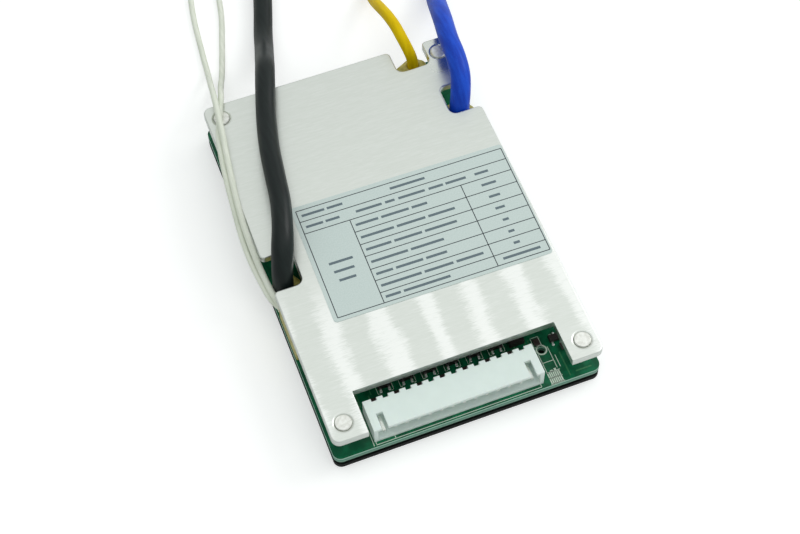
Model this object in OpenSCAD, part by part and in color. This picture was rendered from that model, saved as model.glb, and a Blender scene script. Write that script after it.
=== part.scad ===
// Battery management board: base plate, circuit board and aluminium cover plate, riveted in a stack.
// Millimetres. The origin is the middle of the footprint on the surface that the stack lies on.
// The cell header faces -Y, the power wires leave through the cover plate towards +Y.

/* [Plates] */
// Width of the base plate, the circuit board and the cover plate
board_w = 60; // [60:1:80]
// Length of the base plate, the circuit board and the cover plate
board_l = 90; // [90:1:120]
// Corner radius of the base plate and the circuit board
board_corner_r = 1.8; // [1:0.2:4]
// Corner radius of the cover plate
cover_corner_r = 1.8; // [1:0.2:4]
// Thickness of the black insulating base plate
base_t = 1.2; // [1:0.1:2]
// Gap between the base plate and the circuit board
base_gap = 1.1; // [0.9:0.1:3]
// Thickness of the circuit board
pcb_t = 1.6; // [1:0.2:2.4]
// Gap between the circuit board and the cover plate
cover_gap = 6; // [5.8:0.1:8]
// Thickness of the aluminium cover plate
cover_t = 2; // [1.6:0.1:3]

/* [Header window] */
// Width of the two arms of the cover plate beside the window, where the front rivets sit
arm_w = 7.5; // [7:0.1:9]
// Length of the window, from the front edge inwards
window_l = 10; // [8:0.5:13]
// Sideways place of the middle of the window
window_x = 0.1; // [-1:0.1:1]

/* [Wire notches] */
// Width of the notch for the black wire, in the left edge
black_notch_w = 8.8; // [6:0.2:12]
// Depth of the notch for the black wire
black_notch_depth = 6.7; // [6:0.1:9]
// Place of the middle of the black notch along the board
black_notch_y = -2.4; // [-6:0.2:4]
// Width of the notch for the blue wire, in the right edge
blue_notch_w = 8.1; // [6:0.1:11]
// Depth of the notch for the blue wire
blue_notch_depth = 7.3; // [6.8:0.1:9]
// Distance from the rear edge to the middle of the blue notch
blue_notch_inset = 17.9; // [15:0.1:19]
// Width of the notch for the yellow wire, in the rear edge
yellow_notch_w = 8; // [6:0.2:10]
// Depth of the notch for the yellow wire
yellow_notch_depth = 6.5; // [5:0.1:8]
// Distance from the right edge to the middle of the yellow notch
yellow_notch_inset = 10.4; // [10:0.1:14]
// Radius of the inner corners of the notches
notch_inner_r = 1.6; // [0.5:0.1:2.5]
// Radius of the outer corners of the notches
notch_mouth_r = 1.1; // [0.4:0.1:1.4]

/* [Rivets] */
// Distance from the side edges to the rivets
rivet_inset_x = 3.5; // [3:0.1:5]
// Distance from the end edges to the rivets
rivet_inset_y = 4; // [3.4:0.1:6]
// Diameter of the rivet shank
rivet_d = 2.4; // [1.6:0.1:2.8]
// Diameter of the flush head in the cover plate
rivet_head_d = 3.6; // [3.2:0.1:4.2]
// Thickness of the flush head
rivet_head_t = 1; // [0.6:0.1:1.2]
// Diameter of the coined ring around the head
rivet_ring_d = 4.9; // [4.5:0.1:5.4]
// Diameter of the formed tail under the base plate
rivet_tail_d = 4; // [3.2:0.1:4.6]
// Outside diameter of the washers between the base plate and the circuit board
spacer_d = 5; // [3.6:0.1:6]

/* [Header] */
// Number of pins
ways = 14; // [4:1:14]
// Distance from one pin to the next
pitch = 2.54; // [2:0.02:2.54]
// Sideways place of the middle of the header
header_x = -2; // [-4:0.1:-1.8]
// Height of the housing above the circuit board
header_h = 5.2; // [4.6:0.1:5.6]
// Length of the housing from its mating face to the end of its rear teeth
header_l = 7.2; // [6.8:0.1:8]
// Distance from the front edge of the circuit board to the mating face
header_inset = 1.1; // [0.6:0.1:2]
// Width of the housing past the first and the last pin
header_end = 2.45; // [2:0.05:3]
// Thickness of the top and bottom walls of the housing
header_wall = 0.8; // [0.6:0.05:1]
// Thickness of the side walls of the housing
header_side = 0.9; // [0.6:0.05:1.2]
// Thickness of the rear wall of the housing, without the teeth
header_back = 1.5; // [1:0.1:2.5]
// Width of the latch slots over the first and the last pin
latch_slot_w = 1.45; // [1:0.05:1.8]
// Length of the latch slots from the mating face
latch_slot_l = 3.7; // [2:0.1:4.2]
// Width of the rear notches that the pin legs stand in
leg_notch_w = 1.2; // [0.9:0.05:1.5]
// Side of the square header pins
pin_w = 0.64; // [0.5:0.02:0.7]
// Distance from the mating face back to the pin tips
pin_recess = 0.7; // [0.4:0.1:2]
// Diameter of the pin holes in the circuit board
pin_hole_d = 1.05; // [1:0.05:1.3]

/* [Power transistors] */
// Number of power transistors in each of the two rows
row_count = 5; // [2:1:5]
// Distance from the left edge of the circuit board to the rows
row_left = 4.3; // [4.1:0.1:5]
// Distance from the rows to the right edge of the circuit board
row_right = 3.1; // [2.6:0.1:5]
// Clearance between neighbours in a row
row_gap = 0.4; // [0.2:0.1:1]
// Length of the moulded body
power_l = 8.8; // [7:0.1:9.4]
// Height of the moulded body
power_h = 4.4; // [3:0.1:5]
// Thickness of the copper tab
tab_t = 1.27; // [0.8:0.05:1.6]
// Length of the tab that stands out behind the body
tab_out = 1.3; // [0.8:0.1:2]
// Distance from the front edge to the middle of the front row
front_row_inset = 25.5; // [24:0.1:27]
// Distance from the rear edge to the middle of the rear row
rear_row_inset = 31.5; // [30:0.1:33]

/* [Small parts] */
// Width of the small three-lead transistors
small_w = 2.9; // [2.4:0.1:3]
// Length of their bodies
small_l = 1.4; // [1.2:0.1:1.6]
// Height of their bodies above the circuit board
small_h = 1.1; // [0.9:0.05:1.3]
// Distance of the row of small transistors behind the mating face of the header
small_row_back = 11.7; // [11.6:0.1:13]
// Number of balancing resistors
resistor_count = 13; // [4:1:13]
// Distance from one balancing resistor to the next
resistor_pitch = 3.6; // [3.4:0.1:3.7]
// Width of the controller chip
chip_w = 12.6; // [10:0.1:14]
// Length of the controller chip, without its leads
chip_l = 5.3; // [4:0.1:6]
// Distance from the middle of the controller chip to the right edge
chip_inset = 19.5; // [18:0.1:21]
// Number of leads on each side of the controller chip
chip_leads = 14; // [6:1:14]

/* [Label] */
// Width of the paper label
label_w = 49.8; // [40:0.2:52]
// Length of the paper label
label_l = 30.5; // [24:0.5:34]
// Sideways place of the middle of the label
label_x = 4.7; // [0:0.1:5]
// Place of the middle of the label along the board
label_y = -3.7; // [-6:0.1:2]
// Turn of the label against the plate, in degrees
label_turn = -0.7; // [-2:0.1:2]

/* [Wires] */
// Outside diameter of the black and blue power wires
power_wire_d = 4.6; // [4:0.1:5]
// Outside diameter of the yellow wire
yellow_wire_d = 2.6; // [2:0.1:3]
// Outside diameter of the two white sensor leads
lead_d = 1.4; // [1:0.1:1.6]
// Distance from the left edge to the black wire
black_in = 2.8; // [2.6:0.1:4]
// Distance from the right edge to the blue wire
blue_in = 4.4; // [3.6:0.1:4.6]
// Distance from the rear edge to the yellow wire
yellow_in = 2.7; // [2.2:0.1:4]
// Height of the solder under each wire
solder_t = 0.8; // [0.4:0.1:1.2]
// Length of the bare tinned wire ends
tip_l = 7; // [4:0.5:10]

/* [Fits] */
// Clearance around shanks, heads and wires in their holes, on the radius
hole_clear = 0.05; // [0.02:0.01:0.15]
// Clearance between a wire and the front edge of its notch
wire_clear = 0.15; // [0.1:0.05:0.5]

/* [Hidden] */
$fn = 48;

pcb_z = base_t + base_gap;
pcb_top = pcb_z + pcb_t;
cover_z = pcb_top + cover_gap;
cover_top = cover_z + cover_t;
front_y = -board_l / 2;
rear_y = board_l / 2;
cut = 1;
edge_gap = 0.1;
window_w = board_w - 2 * arm_w;

rivet_hole_d = rivet_d + 2 * hole_clear;
rivet_x = board_w / 2 - rivet_inset_x;
rivet_y = board_l / 2 - rivet_inset_y;
head_bore_d = rivet_head_d + 2 * hole_clear;
head_proud = 0.1;
ring_depth = 0.12;
tail_t = base_t / 2;
tail_lift = 0.1;

mate_y = front_y + header_inset;
header_w = (ways - 1) * pitch + 2 * header_end;
tooth_y = mate_y + header_l;
leg_y = tooth_y - pin_w / 2 - 0.04;
wall_y = leg_y - pin_w / 2;
pin_z = pcb_top + header_h / 2;
tail_end_z = pcb_z - base_gap + 0.2;
small_row_y = mate_y + small_row_back;
test_hole_d = 1.6;
test_hole = [header_x + header_w / 2 + 2.75, mate_y + 7.45];
driver_at = [test_hole.x + 3.8, small_row_y - 2.7];
regulator = [3.3, 2.1, 1.5];
channel_chip = [1.7, 0.9, 0.5];
gate_chip = [1.3, 1.6, 0.5];
side_chip = [0.9, 1.5, 0.5];

front_row_y = front_y + front_row_inset;
rear_row_y = rear_y - rear_row_inset;
row_x = (row_left - row_right) / 2;
row_w = board_w - row_left - row_right;
row_pitch = (row_w + row_gap) / row_count;
power_w = row_pitch - row_gap;
tab_in_w = power_w - 2.2;
tab_in_l = power_l - 1.6;
power_lead_z = power_h / 2;
power_lead_reach = 2.6;

// Free strip between the leads of the two rows
mid_y = (front_row_y + rear_row_y) / 2;
mid_l = rear_row_y - front_row_y - power_l - 2 * power_lead_reach;
chip_at = [board_w / 2 - chip_inset, mid_y];
chip_h = 1.8;
chip_lead_reach = 1.3;

foot_d = power_wire_d + 0.2;
yellow_foot_d = yellow_wire_d + 0.6;
foot_z = pcb_top + solder_t;
black_notch_front = black_notch_y - black_notch_w / 2;
blue_notch_y = rear_y - blue_notch_inset;
blue_notch_front = blue_notch_y - blue_notch_w / 2;
yellow_notch_x = board_w / 2 - yellow_notch_inset;
black_exit = [black_in - board_w / 2, black_notch_front + wire_clear + power_wire_d / 2];
blue_exit = [board_w / 2 - blue_in, blue_notch_front + wire_clear + power_wire_d / 2];
yellow_exit = [yellow_notch_x + 1, rear_y - yellow_in];
seal_z = pcb_top + 4;
lead_seal_y = -8.6;
board_side = edge_gap - board_w / 2;

// Each route starts on its solder or sealant, straight out, and ends lying on the surface.
black_route = [
    [black_exit.x, black_exit.y, foot_z], [black_exit.x, black_exit.y, 8.2], [-26.7, -3, 12],
    [-25.2, 0.5, 15.6], [-23.6, 5, 17], [-22, 11, 17.2], [-20.9, 18, 16.8], [-19.6, 26, 16],
    [-17.5, 35, 14.9], [-14.8, 44, 14.6], [-13, 50, 13.4], [-11.5, 56, 9.2], [-10, 62, 5],
    [-8.3, 68.5, 2.7], [-5.6, 77, 2.3], [-2.4, 88, 2.3], [0, 100, 2.3], [1, 112, 2.3], [1, 120, 2.3]
];
blue_route = [
    [blue_exit.x, blue_exit.y, foot_z], [blue_exit.x, blue_exit.y, 8.2], [25.7, 25.7, 10.4],
    [26.4, 26.9, 13.6], [27.4, 29.7, 16.2], [28, 34, 17.4], [28.6, 40, 16.8], [30, 47, 14.8],
    [31.4, 53, 11.6], [33, 59, 7.6], [34.8, 65, 4.2], [37, 71.5, 2.5], [39.8, 80, 2.3],
    [42.6, 90, 2.3], [44, 100, 2.3], [44, 107, 2.3]
];
yellow_route = [
    [yellow_exit.x, yellow_exit.y, foot_z], [yellow_exit.x, yellow_exit.y, 8.2], [20.3, 42.4, 10.8],
    [19.6, 42.9, 13.6], [18.9, 44.8, 15.8], [18.5, 48, 16.6], [18.2, 52, 15.9], [18.2, 57, 13.2],
    [18.6, 62, 9.6], [19.4, 67, 5.8], [20.6, 72, 2.6], [22.6, 79, 1.3], [25, 88, 1.3],
    [26.4, 98, 1.3], [26.4, 104, 1.3]
];
upper_route = [
    [-29.2, lead_seal_y, 8], [-29.2, lead_seal_y + 0.8, 8], [-29.8, -6, 8.6], [-30.3, -3, 9.6],
    [-30.7, 2, 10.6], [-30.8, 9, 11.8], [-30.4, 16, 12.8], [-29.2, 26, 13.5], [-27.9, 35, 14],
    [-27, 42, 14.3], [-26.4, 47, 13.5], [-25.8, 52, 10.4], [-25.1, 57, 5.6], [-24.3, 63, 1.4],
    [-23.5, 71, 0.7], [-22.2, 82, 0.7], [-19.4, 96, 0.7], [-16.4, 110, 0.8], [-15.3, 122, 1.8],
    [-15.3, 126, 1.8]
];
lower_route = [
    [-29.3, lead_seal_y, 6.4], [-29.3, lead_seal_y + 0.8, 6.4], [-30.4, -6, 7.2], [-31.1, -3, 8],
    [-31.8, 3, 9.2], [-31.9, 9, 10.3], [-31.4, 16, 11.5], [-30.4, 26, 12.7], [-28.9, 35, 12.8],
    [-26.5, 42, 12.8], [-25, 46, 12.5], [-24, 50.5, 9.4], [-22.8, 56, 4.2], [-21, 62, 1],
    [-18.2, 71, 0.7], [-15.4, 81, 0.7], [-13.6, 94, 0.7], [-13.4, 109, 0.8], [-13.7, 122, 1.8],
    [-13.7, 126, 1.8]
];
bead_d = 3.6;
bead_l = 6;

function pin_x(i) = header_x + (i - (ways - 1) / 2) * pitch;
function power_x(i) = row_x + (i - (row_count - 1) / 2) * row_pitch;
function unit(v) = v / norm(v);
function heading(route, i) = unit(route[min(i + 1, len(route) - 1)] - route[max(i - 1, 0)]);

module rounded_plate(w, l, r) {
    square([w - 2 * r, l], center = true);
    square([w, l - 2 * r], center = true);
    for (x = [-1, 1], y = [-1, 1])
        translate([x * (w / 2 - r), y * (l / 2 - r)]) circle(r);
}

// Notch that opens over the line y = 0, with round inner corners and rounded lips
module edge_notch(w, depth) {
    inner_r = notch_inner_r;
    mouth_r = notch_mouth_r;
    translate([-w / 2, inner_r - depth]) square([w, depth - inner_r + cut]);
    translate([inner_r - w / 2, -depth]) square([w - 2 * inner_r, depth]);
    for (side = [-1, 1]) {
        translate([side * (w / 2 - inner_r), inner_r - depth]) circle(inner_r);
        translate([side * (w + mouth_r) / 2, -mouth_r / 2]) difference() {
            square(mouth_r, center = true);
            translate([side, -1] * mouth_r / 2) circle(mouth_r);
        }
    }
}

module at_rivets() {
    for (x = [-1, 1], y = [-1, 1]) translate([x * rivet_x, y * rivet_y, 0]) children();
}

module base_plate() {
    color([0.09, 0.1, 0.1]) difference() {
        linear_extrude(base_t) rounded_plate(board_w, board_l, board_corner_r);
        at_rivets() {
            translate([0, 0, -cut]) cylinder(d = rivet_hole_d, h = base_t + 2 * cut);
            translate([0, 0, -cut]) cylinder(d = rivet_tail_d + 2 * hole_clear, h = cut + tail_lift + tail_t);
        }
    }
}

module base_spacers() {
    color([0.82, 0.82, 0.78]) at_rivets() translate([0, 0, base_t]) difference() {
        cylinder(d = spacer_d, h = base_gap);
        translate([0, 0, -cut]) cylinder(d = rivet_hole_d, h = base_gap + 2 * cut);
    }
}

module circuit_board() {
    color([0.02, 0.3, 0.19]) translate([0, 0, pcb_z]) difference() {
        linear_extrude(pcb_t) rounded_plate(board_w, board_l, board_corner_r);
        translate([0, 0, -cut]) {
            at_rivets() cylinder(d = rivet_hole_d, h = pcb_t + 2 * cut);
            for (i = [0 : ways - 1])
                translate([pin_x(i), leg_y, 0]) cylinder(d = pin_hole_d, h = pcb_t + 2 * cut);
            translate([test_hole.x, test_hole.y, 0]) cylinder(d = test_hole_d, h = pcb_t + 2 * cut);
        }
    }
}
module cover_outline() {
    difference() {
        rounded_plate(board_w, board_l, cover_corner_r);
        translate([window_x - window_w / 2, front_y - cut]) square([window_w, window_l + cut]);
        translate([-board_w / 2, black_notch_y]) rotate(90) edge_notch(black_notch_w, black_notch_depth);
        translate([board_w / 2, blue_notch_y]) rotate(-90) edge_notch(blue_notch_w, blue_notch_depth);
        translate([yellow_notch_x, rear_y]) edge_notch(yellow_notch_w, yellow_notch_depth);
    }
}

module cover_plate() {
    head_seat_t = rivet_head_t - head_proud;
    color([0.84, 0.86, 0.84]) translate([0, 0, cover_z]) difference() {
        linear_extrude(cover_t) cover_outline();
        at_rivets() {
            translate([0, 0, -cut]) cylinder(d = rivet_hole_d, h = cover_t + 2 * cut);
            translate([0, 0, cover_t - head_seat_t]) cylinder(d = head_bore_d, h = head_seat_t + cut);
            translate([0, 0, cover_t - ring_depth])
                cylinder(d1 = rivet_ring_d - 0.4, d2 = rivet_ring_d, h = ring_depth);
        }
    }
}

// One turned profile: formed tail, shank and flush head
module rivets() {
    head_z = cover_top + head_proud;
    color([0.86, 0.86, 0.82]) at_rivets() rotate_extrude() polygon([
        [0, tail_lift], [rivet_tail_d / 2 - 0.2, tail_lift], [rivet_tail_d / 2, tail_lift + 0.2],
        [rivet_tail_d / 2, tail_lift + tail_t], [rivet_d / 2, tail_lift + tail_t],
        [rivet_d / 2, head_z - rivet_head_t], [rivet_head_d / 2, head_z - rivet_head_t],
        [rivet_head_d / 2, head_z - 0.15], [rivet_head_d / 2 - 0.15, head_z], [0, head_z]
    ]);
}

// Bottom of a power transistor: copper tab that the body is moulded onto
module tab_outline() {
    translate([-tab_in_w / 2, -tab_in_l]) square([tab_in_w, tab_in_l]);
    translate([-power_w / 2 + 0.1, 0]) square([power_w - 0.2, tab_out]);
}

// Both rows: leads face the middle of the board, tabs face the ends
module at_power_transistors() {
    for (i = [0 : row_count - 1]) translate([power_x(i), 0, pcb_top]) {
        translate([0, front_row_y, 0]) mirror([0, 1, 0]) children();
        translate([0, rear_row_y, 0]) children();
    }
}

module power_transistor_bodies() {
    draft = 0.3;
    half = power_l / 2;
    color([0.11, 0.11, 0.12]) at_power_transistors() difference() {
        rotate([90, 0, -90]) linear_extrude(power_w, center = true) polygon([
            [-half, 0], [-half, power_lead_z], [draft - half, power_h],
            [half - draft, power_h], [half, power_lead_z], [half, 0]
        ]);
        translate([0, half, -cut]) linear_extrude(tab_t + cut)
            translate([-tab_in_w / 2, -tab_in_l]) square([tab_in_w, tab_in_l + cut]);
    }
}

module power_transistor_tabs() {
    color([0.78, 0.77, 0.74]) at_power_transistors()
        translate([0, power_l / 2, 0]) linear_extrude(tab_t) tab_outline();
}

// Lead that leaves a body at its side, steps down and lies flat on the circuit board towards -Y
module gull_lead(reach, rise, foot, w, t) {
    step = reach - foot;
    rotate([90, 0, -90]) linear_extrude(w, center = true) polygon([
        [0, rise], [step, rise], [step, t], [reach, t],
        [reach, 0], [step - t, 0], [step - t, rise - t], [0, rise - t]
    ]);
}

module power_transistor_leads() {
    lead_w = 0.8;
    lead_t = 0.5;
    color([0.8, 0.8, 0.79]) at_power_transistors() translate([0, -power_l / 2, 0]) {
        for (side = [-1, 1])
            translate([side * 2.54, 0, 0])
                gull_lead(power_lead_reach, power_lead_z, 1.2, lead_w, lead_t);
        translate([-lead_w / 2, -0.8, power_lead_z - lead_t]) cube([lead_w, 0.8, lead_t]);
    }
}

// Soft strips that carry the heat from each row of bodies to the cover plate
module thermal_pads() {
    pad_l = power_l - 0.6;
    color([0.62, 0.66, 0.68]) for (y = [front_row_y, rear_row_y])
        translate([row_x - row_w / 2, y - pad_l / 2, pcb_top + power_h])
            cube([row_w, pad_l, cover_gap - power_h]);
}

// Bent resistance strips, standing on two feet
module shunt_strips() {
    strip_w = 3.6;
    strip_l = mid_l - 4;
    strip_h = 2.6;
    strip_t = 0.8;
    foot_l = 1.8;
    first_x = 13 - board_w / 2;
    color([0.66, 0.58, 0.46]) for (i = [0 : 2])
        translate([first_x + 1.5 * strip_w * i, mid_y, pcb_top]) rotate([90, 0, -90])
            linear_extrude(strip_w, center = true) difference() {
                translate([-strip_l / 2, 0]) square([strip_l, strip_h]);
                translate([foot_l + strip_t - strip_l / 2, -cut])
                    square([strip_l - 2 * (foot_l + strip_t), strip_h - strip_t + cut]);
                for (side = [-1, 1])
                    translate([side * (strip_l - foot_l) / 2, strip_t + strip_h / 2])
                        square([foot_l, strip_h], center = true);
            }
}

module controller_body() {
    color([0.12, 0.12, 0.13]) translate([chip_at.x, chip_at.y, pcb_top + 0.1]) difference() {
        translate([-chip_w / 2, -chip_l / 2, 0]) cube([chip_w, chip_l, chip_h]);
        translate([1.2 - chip_w / 2, 1.2 - chip_l / 2, chip_h - 0.1]) cylinder(d = 1, h = cut);
    }
}

module controller_leads() {
    lead_pitch = (chip_w - 1.8) / (chip_leads - 1);
    color([0.8, 0.8, 0.79]) for (side = [0, 1], i = [0 : chip_leads - 1])
        translate([chip_at.x + (i - (chip_leads - 1) / 2) * lead_pitch, chip_at.y, pcb_top])
            mirror([0, side, 0]) translate([0, -chip_l / 2, 0])
                gull_lead(chip_lead_reach, chip_h / 2, 0.6, 0.35, 0.18);
}

// Flat block with its long side along Y
module chip_block(size) {
    translate([-size.x / 2, -size.y / 2, 0]) cube(size);
}

module balance_resistors() {
    color([0.13, 0.13, 0.14]) for (i = [0 : resistor_count - 1])
        translate([(i - (resistor_count - 1) / 2) * resistor_pitch - 3, rear_y - 12.6, pcb_top])
            chip_block([3.2, 6.4, 0.6]);
}

// Two columns between the controller chip and the right edge
module ceramic_capacitors() {
    color([0.7, 0.58, 0.42]) for (column = [0, 1], row = [-1 : 1])
        translate([chip_at.x + chip_w / 2 + 2.6 + 3 * column, chip_at.y + 2.8 * row, pcb_top])
            chip_block([1.25, 2, 1.1]);
}

// Two leads at the front of a small transistor and one at its back
module small_leads() {
    for (x = [-0.95, 0.95])
        translate([x, -small_l / 2, 0]) gull_lead(0.65, small_h / 2, 0.35, 0.45, 0.15);
    mirror([0, 1, 0]) translate([0, -small_l / 2, 0]) gull_lead(0.65, small_h / 2, 0.35, 0.45, 0.15);
}

module small_body() {
    translate([0, 0, 0.1]) chip_block([small_w, small_l, small_h - 0.1]);
}

// One for every second gap between the pins
module at_balance_transistors() {
    for (i = [0 : floor(ways / 2) - 2])
        translate([pin_x(2 * i + 1.5), small_row_y, pcb_top]) children();
}

module balance_transistor_bodies() {
    color([0.12, 0.1, 0.1]) at_balance_transistors() small_body();
}

module balance_transistor_leads() {
    color([0.8, 0.8, 0.79]) at_balance_transistors() small_leads();
}

module channel_resistors() {
    color([0.16, 0.13, 0.14]) for (i = [0 : floor(ways / 2) - 1])
        translate([pin_x(2 * i + 0.3), small_row_y - 2.7, pcb_top]) chip_block(channel_chip);
}

module driver_transistor_body() {
    color([0.1, 0.1, 0.11]) translate([driver_at.x, driver_at.y, pcb_top]) small_body();
}

module driver_transistor_leads() {
    color([0.82, 0.82, 0.8]) translate([driver_at.x, driver_at.y, pcb_top]) small_leads();
}

module regulator_body() {
    color([0.08, 0.08, 0.09])
        translate([pin_x(ways - 0.7), small_row_y - 0.4, pcb_top]) chip_block(regulator);
}

module corner_resistors() {
    color([0.2, 0.18, 0.19]) translate([test_hole.x, test_hole.y, pcb_top]) {
        translate([-0.4, (test_hole_d + gate_chip.y) / 2 + 0.4, 0]) chip_block(gate_chip);
        translate([4.5, -0.8, 0]) chip_block(side_chip);
    }
}

// Side-entry housing: open at the front, two latch slots in the roof, teeth between the pin legs
module header_housing() {
    half_w = header_w / 2;
    inner_h = header_h - 2 * header_wall;
    color([0.88, 0.9, 0.86]) translate([header_x, mate_y, pcb_top]) difference() {
        translate([-half_w, 0, 0]) cube([header_w, header_l, header_h]);
        translate([header_side - half_w, -cut, header_wall])
            cube([header_w - 2 * header_side, wall_y - mate_y - header_back + cut, inner_h]);
        for (side = [-1, 1])
            translate([side * (pin_x(0) - header_x) - latch_slot_w / 2, -cut, header_h - header_wall - cut])
                cube([latch_slot_w, latch_slot_l + cut, header_wall + 2 * cut]);
        for (i = [0 : ways - 1]) translate([pin_x(i) - header_x, 0, 0]) {
            translate([-leg_notch_w / 2, wall_y - mate_y, -cut])
                cube([leg_notch_w, header_l, header_h + 2 * cut]);
            translate([-pin_w / 2, 0, (header_h - pin_w) / 2]) cube([pin_w, header_l, pin_w]);
        }
    }
}

// Square pins bent down through the circuit board
module header_pins() {
    color([0.82, 0.82, 0.78]) for (i = [0 : ways - 1])
        translate([pin_x(i), mate_y, 0]) rotate([90, 0, 90]) linear_extrude(pin_w, center = true)
            polygon([
                [pin_recess, pin_z - pin_w / 2], [leg_y - mate_y - pin_w / 2, pin_z - pin_w / 2],
                [leg_y - mate_y - pin_w / 2, tail_end_z], [leg_y - mate_y + pin_w / 2, tail_end_z],
                [leg_y - mate_y + pin_w / 2, pin_z + pin_w / 2], [pin_recess, pin_z + pin_w / 2]
            ]);
}

module header_solder() {
    color([0.8, 0.81, 0.8]) for (i = [0 : ways - 1])
        translate([pin_x(i), leg_y, pcb_z - 0.6]) difference() {
            cylinder(d1 = 1.2, d2 = 1.9, h = 0.6);
            translate([-pin_w / 2, -pin_w / 2, -cut]) cube([pin_w, pin_w, 2 * cut]);
        }
}

module wire_solder() {
    color([0.8, 0.81, 0.8]) translate([0, 0, pcb_top]) {
        for (exit = [black_exit, blue_exit]) translate(exit) cylinder(d = foot_d, h = solder_t);
        translate(yellow_exit) cylinder(d = yellow_foot_d, h = solder_t);
    }
}

module label() {
    color([0.87, 0.9, 0.9]) translate([label_x, label_y, cover_top]) rotate(label_turn)
        linear_extrude(0.1) rounded_plate(label_w, label_l, 0.8);
}

// Room for a wire that stands on its solder, with the wire's own number of sides
module wire_room(exit, wire_d, sides, solder_d) {
    translate([exit.x, exit.y, pcb_top - cut]) {
        cylinder(d = solder_d, h = solder_t + cut);
        cylinder(d = wire_d + 2 * hole_clear, h = cover_gap + cover_t + cut, $fn = sides);
    }
}

// Space between the circuit board and the cover plate, as far as sealant is let out
module between_plates() {
    linear_extrude(cover_z) rounded_plate(board_w - 2 * edge_gap, board_l - 2 * edge_gap, board_corner_r);
}

// Poured mound that runs from spot to spot: [x, y, radius] of its flanks on the circuit board
module mound(spots, top_z) {
    hull() for (spot = spots)
        translate([spot.x, spot.y, pcb_top])
            cylinder(r1 = spot.z, r2 = spot.z - 0.7, h = top_z - pcb_top, $fn = 24);
}

module black_wire_sealant() {
    color([0.72, 0.71, 0.5]) difference() {
        intersection() {
            mound([[black_exit.x, black_exit.y, 3.4], [black_exit.x + 2.6, black_exit.y + 0.2, 2.2],
                   [black_exit.x + 1.2, black_exit.y + 2.8, 2.2]], seal_z);
            between_plates();
        }
        wire_room(black_exit, power_wire_d, 12, foot_d);
    }
}

module blue_wire_sealant() {
    color([0.74, 0.7, 0.36]) difference() {
        intersection() {
            mound([[blue_exit.x, blue_exit.y, 3.4], [blue_exit.x + 1.9, blue_exit.y, 2.6],
                   [blue_exit.x - 0.9, blue_exit.y + 1.4, 2.6]], seal_z);
            between_plates();
        }
        wire_room(blue_exit, power_wire_d, 12, foot_d);
    }
}

module yellow_wire_sealant() {
    color([0.8, 0.76, 0.34]) difference() {
        intersection() {
            mound([[yellow_exit.x, yellow_exit.y, 2.9], [yellow_notch_x - 2.6, yellow_exit.y - 1.2, 2.4],
                   [yellow_notch_x + 2.4, yellow_exit.y - 0.4, 2.4]], seal_z);
            between_plates();
        }
        wire_room(yellow_exit, yellow_wire_d, 12, yellow_foot_d);
    }
}

// Bead of sealant along the left edge, which the two sensor leads come out of
module lead_sealant() {
    seal_l = 11.6;
    color([0.8, 0.8, 0.5]) translate([board_side, lead_seal_y, pcb_top]) rotate([90, 0, 0])
        linear_extrude(seal_l) polygon([[0, 0], [3.9, 0], [2.8, 4.6], [1.9, 5.2], [0.4, 5.2], [0, 4.8]]);
}

// Tube with one ring at each point of the route; its sides line up with the direction `side`
module cord(route, d, sides, side) {
    last = len(route) - 1;
    points = [
        for (i = [0 : last])
            let (t = heading(route, i), u = unit(side - (side * t) * t), v = cross(t, u))
                for (k = [0 : sides - 1])
                    route[i] + d / 2 * (cos(360 * k / sides) * u + sin(360 * k / sides) * v)
    ];
    walls = [
        for (i = [0 : last - 1], k = [0 : sides - 1])
            let (a = i * sides, next = (k + 1) % sides)
                [a + k, a + sides + k, a + sides + next, a + next]
    ];
    start_cap = [for (k = [0 : sides - 1]) k];
    end_cap = [for (k = [0 : sides - 1]) last * sides + sides - 1 - k];
    polyhedron(points, concat([start_cap], walls, [end_cap]));
}

module black_wire() {
    color([0.13, 0.16, 0.16]) cord(black_route, power_wire_d, 12, [1, 0, 0]);
}

module blue_wire() {
    color([0.14, 0.32, 0.78]) cord(blue_route, power_wire_d, 12, [1, 0, 0]);
}

module yellow_wire() {
    color([0.86, 0.72, 0.04]) cord(yellow_route, yellow_wire_d, 12, [1, 0, 0]);
}

module sensor_lead_upper() {
    color([0.88, 0.89, 0.83]) cord(upper_route, lead_d, 8, [0, 0, 1]);
}

module sensor_lead_lower() {
    color([0.86, 0.88, 0.82]) cord(lower_route, lead_d, 8, [0, 0, 1]);
}

// Tinned strands that stand out of the end of a wire
module bare_tip(route, d) {
    translate(route[len(route) - 1]) rotate([-90, 0, 0]) cylinder(d = d, h = tip_l);
}

module black_wire_tip() {
    color([0.78, 0.77, 0.74]) bare_tip(black_route, power_wire_d * 0.62);
}

module blue_wire_tip() {
    color([0.78, 0.77, 0.74]) bare_tip(blue_route, power_wire_d * 0.62);
}

module yellow_wire_tip() {
    color([0.78, 0.77, 0.74]) bare_tip(yellow_route, yellow_wire_d * 0.55);
}

// Dipped temperature sensor that closes the pair of leads
module sensor_bead() {
    upper_end = upper_route[len(upper_route) - 1];
    lower_end = lower_route[len(lower_route) - 1];
    r = bead_d / 2;
    color([0.12, 0.12, 0.13]) translate((upper_end + lower_end) / 2) rotate([-90, 0, 0]) rotate_extrude()
        union() {
            square([r, bead_l - r]);
            translate([0, bead_l - r]) intersection() {
                circle(r);
                square(r);
            }
        }
}

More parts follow.
